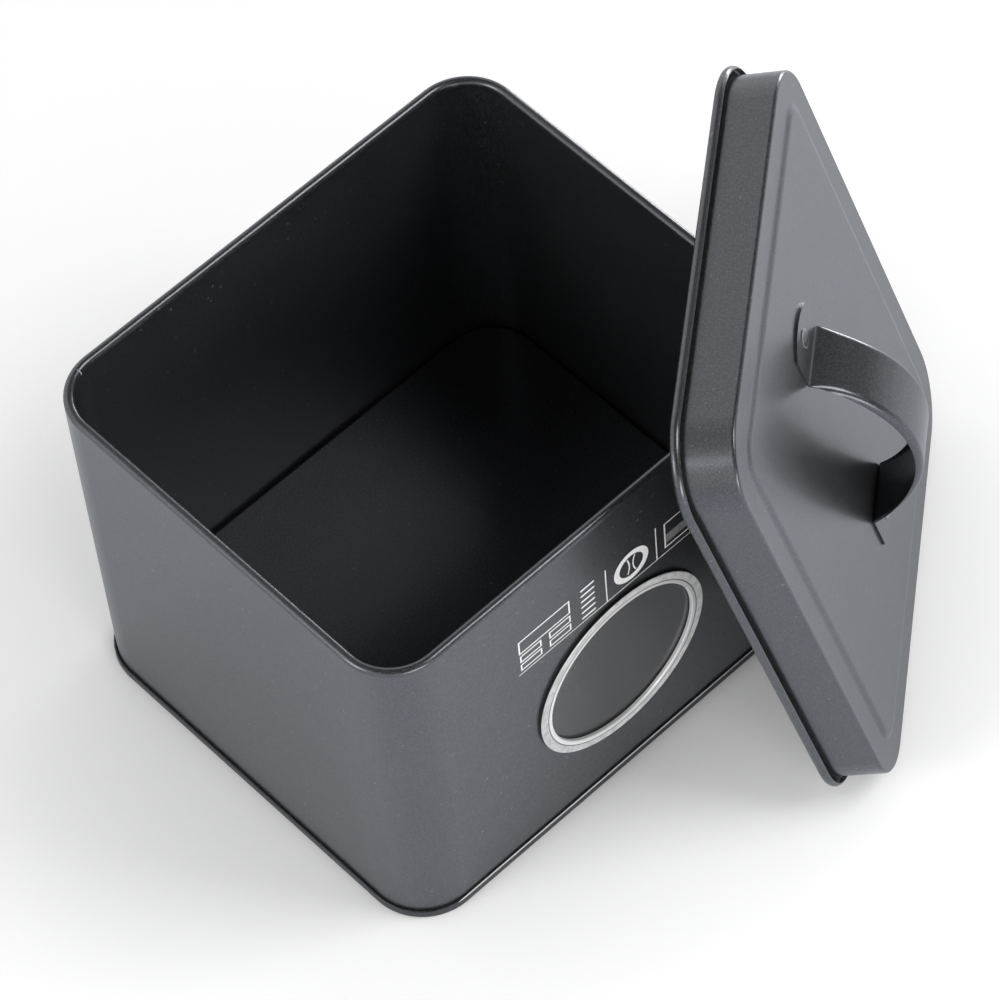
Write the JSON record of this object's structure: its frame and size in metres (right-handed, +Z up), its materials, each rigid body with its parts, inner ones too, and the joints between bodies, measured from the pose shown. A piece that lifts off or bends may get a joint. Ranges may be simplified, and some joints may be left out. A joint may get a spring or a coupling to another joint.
{
  "type": "laundry powder tin",
  "caption": "Rectangular sheet-metal powder tin with a round window in its front, and its shallow lid with a strap handle leaning against one corner.",
  "frame": {"origin": "centre of the tin's underside", "axes": "+Z up; -Y is the tin's front with the window; X along the tin's long side; the lid leans on the front right corner"},
  "size_m": [0.2713, 0.2394, 0.1929],
  "materials": {
    "powder_coat": "satin powder coat with a fine grain",
    "ring_metal": "satin",
    "pane": "clear and glossy"
  },
  "bodies": {
    "root": {"tin_body": "powder_coat", "base_panel": "powder_coat", "window_ring": "ring_metal", "window_pane": "pane", "lid": "powder_coat", "handle": "powder_coat", "handle_rivet_upper": "powder_coat", "handle_rivet_lower": "powder_coat"}
  },
  "joints": []
}
